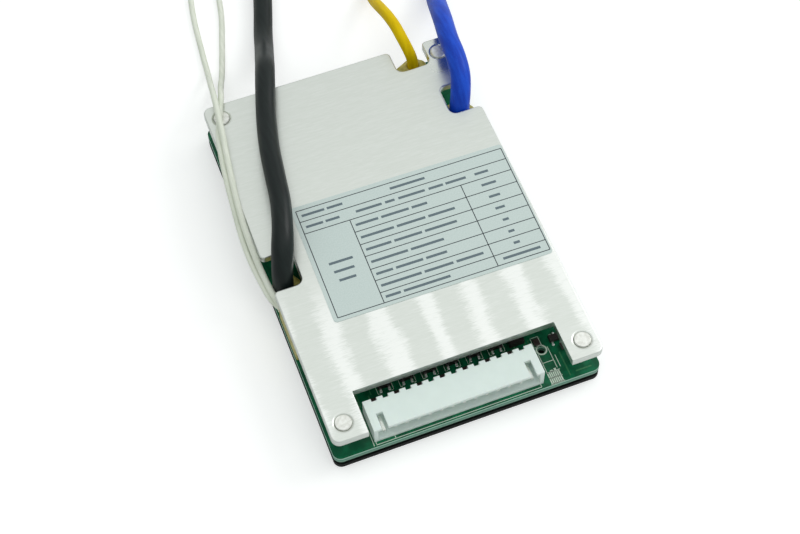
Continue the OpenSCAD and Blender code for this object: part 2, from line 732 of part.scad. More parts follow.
base_plate();
base_spacers();
circuit_board();
cover_plate();
rivets();
thermal_pads();
power_transistor_bodies();
power_transistor_tabs();
power_transistor_leads();
shunt_strips();
controller_body();
controller_leads();
balance_resistors();
ceramic_capacitors();
balance_transistor_bodies();
balance_transistor_leads();
channel_resistors();
driver_transistor_body();
driver_transistor_leads();
regulator_body();
corner_resistors();
header_housing();
header_pins();
header_solder();
wire_solder();
label();
black_wire_sealant();
blue_wire_sealant();
yellow_wire_sealant();
lead_sealant();
black_wire();
blue_wire();
yellow_wire();
sensor_lead_upper();
sensor_lead_lower();
black_wire_tip();
blue_wire_tip();
yellow_wire_tip();
sensor_bead();
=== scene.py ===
import math
import bmesh
import bpy
from mathutils import Matrix, Quaternion, Vector, noise


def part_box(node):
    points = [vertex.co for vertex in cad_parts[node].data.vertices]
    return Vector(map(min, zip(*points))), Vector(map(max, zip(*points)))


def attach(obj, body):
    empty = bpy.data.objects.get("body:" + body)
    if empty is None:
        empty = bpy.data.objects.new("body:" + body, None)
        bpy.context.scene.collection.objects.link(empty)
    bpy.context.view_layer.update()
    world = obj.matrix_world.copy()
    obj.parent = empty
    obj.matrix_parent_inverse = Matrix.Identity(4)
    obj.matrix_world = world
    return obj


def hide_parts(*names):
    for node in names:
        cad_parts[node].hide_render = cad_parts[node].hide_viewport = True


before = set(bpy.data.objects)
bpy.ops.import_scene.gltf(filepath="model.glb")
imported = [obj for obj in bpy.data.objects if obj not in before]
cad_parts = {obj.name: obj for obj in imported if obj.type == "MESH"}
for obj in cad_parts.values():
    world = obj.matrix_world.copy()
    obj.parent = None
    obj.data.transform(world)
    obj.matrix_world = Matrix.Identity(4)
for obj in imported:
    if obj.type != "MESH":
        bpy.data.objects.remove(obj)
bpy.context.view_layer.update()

mm = 0.001


def at(x, y, z=0.0):
    return Vector((x, y, z)) * mm


def display(red, green, blue):
    # Screen colour, 0 to 1, turned into the light that it stands for
    return tuple(c / 12.92 if c <= 0.04045 else ((c + 0.055) / 1.055) ** 2.4 for c in (red, green, blue))


def corners(node):
    low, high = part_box(node)
    return Vector(low), Vector(high)


plateLow, plateHigh = corners("cover_plate")
boardLow, boardHigh = corners("circuit_board")
labelTop = corners("label")[1].z
boardTop = boardHigh.z

# ---------- camera and light ----------

camera = {
    "place": at(-62.45, -180.1, 308.83),
    "aim": Vector((0.17221, 0.48808, -0.85564)),
    "roll": math.radians(-1.565),
    "lens": 72.81,
}


def addCamera():
    data = bpy.data.cameras.new("camera")
    data.lens = camera["lens"]
    data.sensor_width = 36
    data.clip_start = 0.01
    data.clip_end = 20
    eye = bpy.data.objects.new("camera", data)
    turn = camera["aim"].to_track_quat("-Z", "Y") @ Quaternion((0, 0, 1), camera["roll"])
    eye.matrix_world = Matrix.Translation(camera["place"]) @ turn.to_matrix().to_4x4()
    bpy.context.scene.collection.objects.link(eye)
    bpy.context.scene.camera = eye


studio = {
    "lamps": {"key": {"place": (0.75, 0.1, 0.6), "size": 0.5, "power": 2.2}},
    "sun": Vector((0.75, 0.25, 0.6)),  # side of the room that the window is on
    "darkWall": (0.50, 0.53, 0.52),
    "lightWall": (0.80, 0.83, 0.82),
    "overhead": (0.9, 1.3),  # how much of that reaches the middle heights and the ceiling
    "floorGlow": 0.41,
    "floorSize": 3.0,
}


def addLamp(name, place, size, power):
    data = bpy.data.lights.new(name, "AREA")
    data.shape = "DISK"
    data.size = size
    data.energy = power
    lamp = bpy.data.objects.new(name, data)
    lamp.location = place
    lamp.rotation_euler = (-Vector(place)).to_track_quat("-Z", "Y").to_euler()
    bpy.context.scene.collection.objects.link(lamp)


# ---------- materials ----------


class Term:
    # A socket on its way through a material; arithmetic on it adds Math nodes
    def __init__(self, finish, socket):
        self.finish = finish
        self.socket = socket

    def math(self, operation, *values):
        return self.finish.node("ShaderNodeMath", {"operation": operation}, dict(enumerate(values)))

    def __add__(self, other):
        return self.math("ADD", self, other)

    def __radd__(self, other):
        return self.math("ADD", other, self)

    def __sub__(self, other):
        return self.math("SUBTRACT", self, other)

    def __rsub__(self, other):
        return self.math("SUBTRACT", other, self)

    def __mul__(self, other):
        return self.math("MULTIPLY", self, other)

    def __rmul__(self, other):
        return self.math("MULTIPLY", other, self)

    def __abs__(self):
        return self.math("ABSOLUTE", self)


class NodeMaker:
    def __init__(self, tree, shader, place):
        self.tree = tree
        self.shader = tree.nodes[shader]
        self.place = self.node("ShaderNodeTexCoord", {}, {}, place)

    def node(self, kind, settings, sockets, output=0):
        made = self.tree.nodes.new(kind)
        for key, value in settings.items():
            if key == "stops":
                self.setStops(made.color_ramp, value)
            else:
                setattr(made, key, value)
        for key, value in sockets.items():
            self.feed(made.inputs[key], value)
        return Term(self, made.outputs[output])

    def setStops(self, ramp, stops):
        while len(ramp.elements) < len(stops):
            ramp.elements.new(1)
        for element, (position, colour) in zip(ramp.elements, stops):
            element.position = position
            element.color = (*colour, 1)

    def feed(self, socket, value):
        if isinstance(value, Term):
            self.tree.links.new(value.socket, socket)
        elif socket.type == "RGBA":
            socket.default_value = (*value, 1)
        else:
            socket.default_value = value

    def span(self, value, low, high, start=0.0, end=1.0):
        return self.node("ShaderNodeMapRange", {"interpolation_type": "SMOOTHSTEP"},
                         {0: value, 1: low, 2: high, 3: start, 4: end})

    def tint(self, amount, first, second):
        return self.node("ShaderNodeMix", {"data_type": "RGBA"}, {0: amount, 6: first, 7: second}, 2)

    def scale(self, vector, factor):
        return self.node("ShaderNodeVectorMath", {"operation": "SCALE"}, {0: vector, 3: factor})


class Finish(NodeMaker):
    def __init__(self, name):
        self.material = bpy.data.materials.new(name)
        self.material.use_nodes = True
        super().__init__(self.material.node_tree, "Principled BSDF", "Object")

    def surface(self, **values):
        for key, value in values.items():
            self.feed(self.shader.inputs[key.replace("_", " ")], value)
        return self

    def grain(self, size, stretch=(1, 1, 1), detail=2.0, rough=0.5, shift=0.0):
        # Noise whose blobs are about `size` metres wide
        scaled = self.node("ShaderNodeVectorMath", {"operation": "MULTIPLY_ADD"},
                           {0: self.place, 1: [k / size for k in stretch], 2: (shift, shift, shift)})
        return self.node("ShaderNodeTexNoise", {"noise_dimensions": "3D"},
                         {"Vector": scaled, "Scale": 1.0, "Detail": detail, "Roughness": rough})

    def axis(self, letter):
        return self.node("ShaderNodeSeparateXYZ", {}, {0: self.place}, "XYZ".index(letter))

    def facing(self):
        # 1 on faces that look up or down, 0 on upright ones
        normal = self.node("ShaderNodeNewGeometry", {}, {}, "Normal")
        return abs(self.node("ShaderNodeSeparateXYZ", {}, {0: normal}, 2))

    def bump(self, height, depth, strength=1.0):
        return self.node("ShaderNodeBump", {}, {"Strength": strength, "Distance": depth, "Height": height})


def brushedAluminium():
    f = Finish("brushed_aluminium")
    fine = f.grain(0.11 * mm, (0.07, 1, 1), 3)
    coarse = f.grain(0.45 * mm, (0.12, 1, 1), 2)
    cloud = f.grain(8 * mm, (1.1, 0.5, 1), 2, 0.5, 3.1)
    sweep = f.axis("X") * (2 * math.pi / (10.2 * mm)) + cloud * 3.4 + 0.5
    wave = f.node("ShaderNodeMath", {"operation": "SINE"}, {0: sweep})
    towardsFront = f.span(f.axis("Y"), -4 * mm, -19 * mm)
    # Painted highlight: bright reflection bands near the front of the top, broken up by the brushing grain
    painted_glint = f.span(wave * 0.45 + fine * 1.1 + coarse * 0.5, 0.62, 1.25) * towardsFront
    streak = f.span(fine * 0.5 + coarse * 0.5, 0.35, 0.75)
    colour = f.tint(streak, (0.74, 0.765, 0.72), (0.8, 0.82, 0.785))
    # the painted highlight turns the colour towards near white
    colour = f.tint(painted_glint, colour, (0.97, 0.975, 0.95))
    colour = f.tint(f.span(f.facing(), 0.35, 0.9), (0.8, 0.83, 0.79), colour)
    polished = f.span(f.axis("Y"), 33 * mm, 37 * mm) * f.span(f.axis("X"), 21 * mm, 25 * mm)
    height = wave * (towardsFront * 0.4 + 0.06) + coarse * 0.07 + fine * 0.07
    return f.surface(Base_Color=colour, Metallic=1.0, Roughness=0.3 + 0.1 * coarse - 0.14 * polished,
                     Normal=f.bump(height, 0.045 * mm))


def boardLaminate():
    f = Finish("board_laminate")
    patch = f.grain(2.4 * mm, (1, 1, 1), 3)
    weave = f.grain(0.16 * mm, (1, 1, 0.3), 2, 0.5, 2.0)
    mask = f.tint(f.span(patch, 0.4, 0.62), display(0.0, 0.335, 0.215), display(0.0, 0.425, 0.275))
    layer = f.grain(0.14 * mm, (0.3, 0.3, 1), 3)
    depth = f.span(f.axis("Z"), boardLow.z, boardHigh.z) + (layer - 0.5) * 0.06
    edge = f.node("ShaderNodeValToRGB", {"stops": [
        (0.0, display(0.42, 0.58, 0.5)), (0.34, display(0.5, 0.67, 0.6)),
                  (0.42, display(0.12, 0.2, 0.16)),
        (0.5, display(0.36, 0.59, 0.5)), (0.82, display(0.4, 0.64, 0.55)),
                  (0.93, display(0.72, 0.84, 0.78)),
    ]}, {0: depth})
    colour = f.tint(f.span(f.facing(), 0.3, 0.8), edge, mask)
    return f.surface(Base_Color=colour, Roughness=0.34 + 0.12 * weave, Specular_IOR_Level=0.28,
                     Normal=f.bump(weave * 0.5 + layer * 0.3, 0.015 * mm))


def baseLaminate():
    f = Finish("base_laminate")
    speck = f.grain(0.25 * mm, (1, 1, 1), 3)
    colour = f.tint(f.span(speck, 0.35, 0.75), display(0.02, 0.035, 0.035), display(0.075, 0.095, 0.09))
    return f.surface(Base_Color=colour, Roughness=0.5 + 0.15 * speck, Specular_IOR_Level=0.2,
                     Normal=f.bump(speck, 0.02 * mm))


def silicone(name, dark, light, sheen=0.35, shine=0.2):
    f = Finish(name)
    streak = f.grain(0.7 * mm, (1, 0.12, 0.12), 2)
    dust = f.grain(0.2 * mm, (1, 0.5, 0.5), 3, 0.6, 5.0)
    colour = f.tint(f.span(streak * 0.7 + dust * 0.3, 0.3, 0.7), dark, light)
    return f.surface(Base_Color=colour, Roughness=sheen + 0.15 * dust, Specular_IOR_Level=shine,
                     Normal=f.bump(streak + dust * 0.3, 0.03 * mm))


def metal(name, dark, light, rough=0.3, size=0.4):
    f = Finish(name)
    cloud = f.grain(size * mm, (1, 1, 1), 3)
    colour = f.tint(f.span(cloud, 0.3, 0.7), dark, light)
    return f.surface(Base_Color=colour, Metallic=1.0, Roughness=rough + 0.12 * cloud,
                     Normal=f.bump(cloud, 0.03 * mm))


def plain(name, dark, light, rough=0.5, size=0.5, depth=0.02, **others):
    # Moulded, painted or printed stuff: two close colours in a fine mottle, with a bump to match
    f = Finish(name)
    mottle = f.grain(size * mm, (1, 1, 1), 3)
    colour = f.tint(f.span(mottle, 0.32, 0.7), dark, light)
    return f.surface(Base_Color=colour, Roughness=rough + 0.1 * mottle,
                     Normal=f.bump(mottle, depth * mm), **others)


def floorFinish():
    # White to the camera where no shadow falls, plain pale to everything else
    f = Finish("studio_floor")
    cameraRay = f.node("ShaderNodeLightPath", {}, {}, "Is Camera Ray")
    speck = f.grain(20 * mm)
    f.surface(Base_Color=f.tint(speck, (0.78, 0.78, 0.78), (0.8, 0.8, 0.8)), Roughness=0.9,
              Emission_Color=(1, 1, 1), Emission_Strength=0.0)
    glow = f.node("ShaderNodeEmission", {}, {"Color": (1, 1, 1), "Strength": studio["floorGlow"]})
    both = f.node("ShaderNodeAddShader", {}, {0: Term(f, f.shader.outputs[0]), 1: glow})
    seen = f.node("ShaderNodeMixShader", {}, {0: cameraRay, 1: Term(f, f.shader.outputs[0]), 2: both})
    f.tree.links.new(seen.socket, f.tree.nodes["Material Output"].inputs["Surface"])
    return f


finishes = {
    "aluminium": brushedAluminium(),
    "board": boardLaminate(),
    "base": baseLaminate(),
    "rivet": metal("rivet_aluminium", (0.76, 0.76, 0.71), (0.93, 0.93, 0.89), 0.36, 0.7),
    "washer": plain("washer_nylon", display(0.78, 0.78, 0.74), display(0.86, 0.86, 0.82)),
    "pad": plain("pad_silicone", display(0.56, 0.6, 0.62), display(0.66, 0.7, 0.72), 0.7),
    "moulding": plain("moulding_compound", display(0.11, 0.1, 0.1), display(0.19, 0.17, 0.16), 0.5, 0.12),
    "copper": metal("tinned_copper", (0.62, 0.61, 0.58), (0.82, 0.82, 0.8), 0.25),
    "shunt": metal("shunt_alloy", (0.5, 0.4, 0.28), (0.62, 0.52, 0.38), 0.35),
    "ceramic": plain("chip_ceramic", display(0.66, 0.52, 0.36), display(0.74, 0.62, 0.46)),
    "glaze": plain("resistor_glaze", display(0.17, 0.13, 0.12), display(0.27, 0.22, 0.21), 0.35, 0.2),
    "nylon": plain("header_nylon", display(0.895, 0.94, 0.92), display(0.905, 0.95, 0.93), 0.42, 2.5, 0.004,
                   Subsurface_Weight=0.4, Subsurface_Radius=(1.0, 1.0, 0.9), Subsurface_Scale=0.9 * mm),
    "pin": metal("pin_tin", (0.9, 0.9, 0.86), (0.98, 0.98, 0.94), 0.36),
    "solder": metal("solder", (0.6, 0.61, 0.6), (0.85, 0.86, 0.85), 0.22, 0.6),
    "paper": plain("label_paper", display(0.79, 0.845, 0.83), display(0.825, 0.87, 0.86), 0.55, 0.3, 0.004),
    "labelInk": plain("label_ink", display(0.13, 0.16, 0.19), display(0.2, 0.23, 0.27), 0.6, 0.2, 0.002),
    "labelBar": plain("label_bar", display(0.36, 0.42, 0.45), display(0.44, 0.5, 0.53), 0.6, 0.2, 0.002),
    "boardInk": plain("board_ink", display(0.78, 0.84, 0.78), display(0.9, 0.94, 0.88), 0.6, 0.15, 0.01),
    "khaki": plain("khaki_sealant", display(0.66, 0.62, 0.3), display(0.82, 0.78, 0.46), 0.32, 1.1, 0.12,
                   Subsurface_Weight=0.3, Subsurface_Radius=(1.0, 0.9, 0.4), Subsurface_Scale=1.0 * mm),
    "trace": plain("board_trace", display(0.14, 0.42, 0.26), display(0.24, 0.5, 0.32), 0.4, 0.3, 0.005),
    "black": silicone("black_silicone", display(0.03, 0.07, 0.07), display(0.07, 0.115, 0.11), 0.32, 0.32),
    "blue": silicone("blue_silicone", display(0.05, 0.24, 0.72), display(0.1, 0.33, 0.84), 0.34, 0.22),
    "yellow": silicone("yellow_silicone", display(0.86, 0.72, 0.0), display(0.93, 0.8, 0.0), 0.4, 0.1),
    "sleeve": silicone("white_sleeve", display(0.88, 0.9, 0.84), display(0.94, 0.95, 0.9), 0.45, 0.3),
    "strand": metal("tinned_strand", (0.62, 0.6, 0.56), (0.82, 0.8, 0.76), 0.3, 0.3),
    "epoxy": plain("bead_epoxy", display(0.08, 0.08, 0.09), display(0.13, 0.13, 0.14), 0.3, 0.6),
}
print("materials made:", len(finishes))

# ---------- building blocks ----------


def addPiece(name, shape, finish, smooth=True):
    mesh = bpy.data.meshes.new(name)
    shape.to_mesh(mesh)
    shape.free()
    mesh.materials.append(finishes[finish].material)
    for face in mesh.polygons:
        face.use_smooth = smooth
    piece = bpy.data.objects.new(name, mesh)
    bpy.context.scene.collection.objects.link(piece)
    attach(piece, "root")
    return piece


def smoothPath(points, step, floor):
    # Catmull-Rom curve through the points, kept `floor` above the surface
    path = []
    for i in range(len(points) - 1):
        before, first, second, after = (points[max(0, min(len(points) - 1, i + k))] for k in (-1, 0, 1, 2))
        count = max(2, round((second - first).length / step))
        for k in range(count):
            t = k / count
            bent = (2 * before - 5 * first + 4 * second - after) * t * t
            bent += (3 * first - before - 3 * second + after) * t ** 3
            spot = 0.5 * (2 * first + (second - before) * t + bent)
            spot.z = max(spot.z, floor)
            path.append(spot)
    path.append(points[-1].copy())
    return path


def pathLength(path):
    return sum((b - a).length for a, b in zip(path, path[1:]))


def addTube(shape, path, radius, sides):
    # `radius` is a number, or a function of the distance along the path and the angle around it
    rings = []
    travelled = 0.0
    across = None
    for i, spot in enumerate(path):
        ahead = (path[min(i + 1, len(path) - 1)] - path[max(i - 1, 0)]).normalized()
        if across is None:
            across = ahead.orthogonal().normalized()
        across = (across - ahead * across.dot(ahead)).normalized()
        other = ahead.cross(across)
        if i:
            travelled += (spot - path[i - 1]).length
        ring = []
        for k in range(sides):
            angle = 2 * math.pi * k / sides
            r = radius(travelled, angle) if callable(radius) else radius
            ring.append(shape.verts.new(spot + (across * math.cos(angle) + other * math.sin(angle)) * r))
        rings.append(ring)
    for near, far in zip(rings, rings[1:]):
        for k in range(sides):
            n = (k + 1) % sides
            shape.faces.new((near[k], near[n], far[n], far[k]))
    shape.faces.new(list(reversed(rings[0])))
    shape.faces.new(rings[-1])


# ---------- wires ----------

wires = {
    "black_wire": {
        "finish": "black", "slot": "black_silicone", "diameter": 4.6 * mm, "exit": at(-27.2, -4.35, 7.9),
        "bend": 0.07,
        "route": [(-27.2, -4.35, 4.7), (-27.2, -4.35, 8.2), (-26.7, -3, 12),
                  (-25.2, 0.5, 15.6), (-23.6, 5, 17),
                  (-22, 11, 17.2), (-20.9, 18, 16.8), (-19.6, 26, 16), (-17.5, 35, 14.9),
                  (-14.8, 44, 14.6),
                  (-13, 50, 13.4), (-11.5, 56, 9.2), (-10, 62, 5), (-8.3, 68.5, 2.7), (-5.6, 77, 2.3),
                  (-2.4, 88, 2.3), (0, 100, 2.3), (1, 112, 2.3), (1, 120, 2.3)],
    },
    "blue_wire": {
        "finish": "blue", "slot": "blue_silicone", "diameter": 4.6 * mm, "exit": at(25.6, 25.5, 7.9),
        "route": [(25.6, 25.5, 4.7), (25.6, 25.5, 8.2), (25.7, 25.7, 10.4),
                  (26.4, 26.9, 13.6), (27.4, 29.7, 16.2),
                  (28, 34, 17.4), (28.6, 40, 16.8), (30, 47, 14.8), (31.4, 53, 11.6), (33, 59, 7.6),
                  (34.8, 65, 4.2), (37, 71.5, 2.5), (39.8, 80, 2.3), (42.6, 90, 2.3), (44, 100, 2.3),
                  (44, 107, 2.3)],
    },
    "yellow_wire": {
        "finish": "yellow", "slot": "yellow_silicone", "diameter": 2.6 * mm, "exit": at(20.6, 42.3, 7.9),
        "route": [(20.6, 42.3, 4.7), (20.6, 42.3, 8.2), (20.3, 42.4, 10.8),
                  (19.6, 42.9, 13.6), (18.9, 44.8, 15.8),
                  (18.5, 48, 16.6), (18.2, 52, 15.9), (18.2, 57, 13.2), (18.6, 62, 9.6),
                  (19.4, 67, 5.8),
                  (20.6, 72, 2.6), (22.6, 79, 1.3), (25, 88, 1.3), (26.4, 98, 1.3), (26.4, 104, 1.3)],
    },
    "sensor_lead_upper": {
        "finish": "sleeve", "slot": "white_sleeve", "diameter": 1.4 * mm, "exit": at(-29.2, -8.6, 8),
        "route": [(-29.2, -8.6, 8), (-29.2, -7.8, 8), (-29.8, -6, 8.6), (-30.3, -3, 9.6),
                  (-30.7, 2, 10.6),
                  (-30.8, 9, 11.8), (-30.4, 16, 12.8), (-29.2, 26, 13.5), (-27.9, 35, 14),
                  (-27, 42, 14.3),
                  (-26.4, 47, 13.5), (-25.8, 52, 10.4), (-25.1, 57, 5.6),
                  (-24.3, 63, 1.4), (-23.5, 71, 0.7),
                  (-22.2, 82, 0.7), (-19.4, 96, 0.7), (-16.4, 110, 0.8),
                  (-15.3, 122, 1.8), (-15.3, 126, 1.8)],
    },
    "sensor_lead_lower": {
        "finish": "sleeve", "slot": "white_sleeve", "diameter": 1.4 * mm, "exit": at(-29.3, -8.6, 6.4),
        "route": [(-29.3, -8.6, 6.4), (-29.3, -7.8, 6.4), (-30.4, -6, 7.2),
                  (-31.1, -3, 8), (-31.8, 3, 9.2),
                  (-31.9, 9, 10.3), (-31.4, 16, 11.5), (-30.4, 26, 12.7),
                  (-28.9, 35, 12.8), (-26.5, 42, 12.8),
                  (-25, 46, 12.5), (-24, 50.5, 9.4), (-22.8, 56, 4.2), (-21, 62, 1), (-18.2, 71, 0.7),
                  (-15.4, 81, 0.7), (-13.6, 94, 0.7), (-13.4, 109, 0.8),
                  (-13.7, 122, 1.8), (-13.7, 126, 1.8)],
    },
}


def addWire(name):
    wire = wires[name]
    radius = wire["diameter"] / 2
    path = smoothPath([at(*spot) for spot in wire["route"]], radius * 0.45, radius)
    seed = len(wire["route"]) + radius / mm

    def skin(travelled, angle):
        # Soft insulation over twisted strands: slow swells, and faint ridges that wind round
        swell = noise.noise(Vector((travelled / (3 * radius), math.cos(angle), math.sin(angle) + seed)))
        ridge = math.cos(6 * angle + travelled / (2.2 * radius))
        bend = wire.get("bend", 0) * math.exp(-((travelled / mm - 13) / 4) ** 2)
        return radius * (1 + 0.012 * swell + 0.004 * ridge + bend)

    shape = bmesh.new()
    addTube(shape, path, skin, 32 if radius > 1 * mm else 20)
    piece = addPiece(name + "_insulation", shape, wire["finish"])
    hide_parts(name)
    return piece, path


def addTip(name, start, radius, length, count):
    # Tinned strands laid in a slow twist round a core
    shape = bmesh.new()
    strand = radius * math.sin(math.pi / count) / (1 + math.sin(math.pi / count))
    ring = radius - strand
    steps = 14
    for k in range(count):
        path = []
        for i in range(steps + 1):
            turn = 2 * math.pi * k / count + 0.9 * i / steps
            reach = length * (i / steps) * (1 - 0.03 * ((k * 5) % 4))
            squeeze = 1 - 0.06 * (i / steps)
            out = ring * squeeze
            path.append(start + Vector((math.cos(turn) * out, reach, math.sin(turn) * out)))
        addTube(shape, path, strand, 10)
    core = [start + Vector((0, length * 0.98 * i / 4, 0)) for i in range(5)]
    addTube(shape, core, ring, 14)
    piece = addPiece(name + "_strands", shape, "strand")
    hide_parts(name)
    return piece


def addWires():
    tips = {"black_wire": (1.42 * mm, 11), "blue_wire": (1.42 * mm, 11), "yellow_wire": (0.71 * mm, 7)}
    for name in ("black_wire", "blue_wire", "yellow_wire"):
        piece, path = addWire(name)
        low, high = corners(name + "_tip")
        tip = addTip(name + "_tip", path[-1], tips[name][0], high.y - path[-1].y, tips[name][1])
        pathLength(path)
        print(name, "mm long:", round(pathLength(path) / mm, 1))
    for name in ("sensor_lead_upper", "sensor_lead_lower"):
        piece, path = addWire(name)
        pathLength(path)
        print(name, "mm long:", round(pathLength(path) / mm, 1))


addCamera()
addWires()


# ---------- cover plate ----------

plate = {
    "outerRound": 0.75 * mm,
    "lowerRound": 0.3 * mm,
    "windowRound": 0.07 * mm,
    "dimple": 0.05 * mm,  # depth of the coined ring at its outer edge
    "rivets": (26.5 * mm, 41 * mm),
    "ringReach": 3 * mm,  # the rivet's ring ends before this distance from its middle
    "headReach": 2 * mm,  # and its head before this
    "windowRear": -34.9 * mm,
    "windowMiddle": 0.1 * mm,
    "windowHalf": 22.55 * mm,
    "level": 0.01 * mm,
}


def byRivet(spot, reach=plate["ringReach"]):
    return math.hypot(abs(spot.x) - plate["rivets"][0], abs(spot.y) - plate["rivets"][1]) < reach


def inWindow(spot):
    return spot.y < plate["windowRear"] and abs(spot.x - plate["windowMiddle"]) < plate["windowHalf"]


def roundEdges(shape, width, segments, wanted):
    edges = []
    for edge in shape.edges:
        middle = (edge.verts[0].co + edge.verts[1].co) / 2
        sharp = len(edge.link_faces) == 2 and edge.calc_face_angle(0) > math.radians(50)
        flat = abs(edge.verts[0].co.z - edge.verts[1].co.z) < plate["level"]
        if sharp and wanted(middle, flat):
            edges.append(edge)
    bmesh.ops.bevel(shape, geom=edges, offset=width, offset_type="OFFSET", segments=segments, profile=0.5,
                    affect="EDGES", clamp_overlap=True)
    return len(edges)


def addCoverPlate():
    shape = bmesh.new()
    shape.from_mesh(bpy.data.objects["cover_plate"].data)
    bmesh.ops.remove_doubles(shape, verts=shape.verts, dist=0.001 * mm)
    for vertex in shape.verts:
        under = plateHigh.z - vertex.co.z
        inRing = byRivet(vertex.co) and not byRivet(vertex.co, plate["headReach"])
        if inRing and 0.05 * mm < under < 0.2 * mm:
            vertex.co.z = plateHigh.z - plate["dimple"]
    bmesh.ops.dissolve_limit(shape, angle_limit=math.radians(0.4), verts=shape.verts, edges=shape.edges)

    def onRim(spot, flat, height):
        level = flat and abs(spot.z - height) < plate["level"]
        return level and not inWindow(spot) and not byRivet(spot)

    top = roundEdges(shape, plate["outerRound"], 5, lambda spot, flat: onRim(spot, flat, plateHigh.z))
    low = roundEdges(shape, plate["lowerRound"], 3, lambda spot, flat: onRim(spot, flat, plateLow.z))
    rest = roundEdges(shape, plate["windowRound"], 2, lambda spot, flat: inWindow(spot))
    print("plate edges rounded:", top, low, rest)
    piece = addPiece("formed_cover_plate", shape, "aluminium")
    weight = piece.modifiers.new("flat_faces", "WEIGHTED_NORMAL")
    weight.keep_sharp = True
    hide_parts("cover_plate")


addCoverPlate()

# ---------- print on the label and the board ----------


def bar(x, y, width, length):
    return [(x, y), (x + width, y), (x + width, y + length), (x, y + length)]


def outline(x, y, width, length, line):
    return [bar(x, y, width, line), bar(x, y + length - line, width, line),
            bar(x, y, line, length), bar(x + width - line, y, line, length)]


def ring(x, y, inner, outer, count=28):
    marks = []
    for k in range(count):
        a, b = (2 * math.pi * n / count for n in (k, k + 1))
        marks.append([(x + r * math.cos(t), y + r * math.sin(t)) for r, t in
                      ((inner, a), (outer, a), (outer, b), (inner, b))])
    return marks


def addPrint(name, marks, finish, height, place=(0, 0), turn=0.0, thick=0.012):
    # Thin flat marks in mm, laid on the surface at `height`
    shape = bmesh.new()
    base = Vector((place[0] * mm, place[1] * mm, height))
    spin = Matrix.Rotation(math.radians(turn), 3, "Z")
    for mark in marks:
        low, high = ([shape.verts.new(base + spin @ at(x, y, z)) for x, y in mark] for z in (0, thick))
        shape.faces.new(list(reversed(low)))
        shape.faces.new(high)
        for k in range(len(mark)):
            n = (k + 1) % len(mark)
            shape.faces.new((low[k], low[n], high[n], high[k]))
    bmesh.ops.recalc_face_normals(shape, faces=shape.faces)
    return addPiece(name, shape, finish, smooth=False)


table = {
    "corner": (-19.03, 10.67),
    "turn": -0.667,
    "line": 0.19,
    "columns": (0, 10.42, 36.37, 48.39),
    "rows": (0, 2.97, 6.14, 9.55, 12.99, 16.18, 19.62, 22.64, 25.80, 28.43),
    "barHeight": 0.62,
    # Words of each line, as (start, length) from the left end of the table
    "words": {
        0: [(0.9, 5.2), (6.7, 3.6), (21.4, 8.2)],
        1: [(0.9, 3.9), (5.4, 3.2), (12.4, 6.0), (19.2, 2.2), (22.3, 6.2), (29.4, 3.4), (33.4, 4.8), (40.3, 3.2)],
    },
    "middle": {2: (5.2, 6.4, 3.6), 3: (7.6, 6.6, 6.2), 4: (5.8, 6.4, 7.4), 5: (8.4, 7.6), 6: (3.8, 6.2, 4.8),
               7: (9.2, 6.6, 6.2), 8: (3.4, 10.6)},
    "right": {2: 3.4, 3: 2.6, 4: 2.2, 5: 1.4, 6: 1.4, 7: 1.4, 8: 8.6},
    "left": ((15.6, 5.4), (17.9, 4.6), (20.2, 3.8)),
}


def addLabelPrint():
    rows, columns, line = table["rows"], table["columns"], table["line"]
    marks = [bar(0, -y - line / 2, columns[3], line) for y in (rows[0], rows[1], rows[2], rows[9])]
    marks += [bar(columns[1], -y - line / 2, columns[3] - columns[1], line) for y in rows[3:9]]
    marks += [bar(x - line / 2, -rows[9], line, rows[9]) for x in (columns[0], columns[3])]
    marks += [bar(x - line / 2, -rows[9], line, rows[9] - rows[2]) for x in (columns[1], columns[2])]
    addPrint("label_ruling", marks, "labelInk", labelTop, table["corner"], table["turn"])
    tall = table["barHeight"]
    words = []
    for row, spans in table["words"].items():
        y = -(rows[row] + rows[row + 1]) / 2 - tall / 2
        words += [bar(x, y, length, tall) for x, length in spans]
    for row, lengths in table["middle"].items():
        x = columns[1] + 0.8
        y = -(rows[row] + rows[row + 1]) / 2 - tall / 2
        for length in lengths:
            words.append(bar(x, y, length, tall))
            x += length + 0.7
    for row, length in table["right"].items():
        y = -(rows[row] + rows[row + 1]) / 2 - tall / 2
        words.append(bar((columns[2] + columns[3] - length) / 2, y, length, tall))
    words += [bar((columns[1] - length) / 2, -y, length, tall) for y, length in table["left"]]
    addPrint("label_bars", words, "labelBar", labelTop, table["corner"], table["turn"])


addLabelPrint()

header = {
    "middle": -2.0,
    "ways": 14,
    "pitch": 2.54,
    "row": -32.2,  # the small transistors behind it
    "hole": (19.71, -36.45),
    "driver": (23.51, -34.9),
    "leadSpan": 0.95,
    "leadReach": 1.25,
    "joint": (0.34, 0.36, 0.2),
}


def pinX(i):
    return header["middle"] + (i - (header["ways"] - 1) / 2) * header["pitch"]


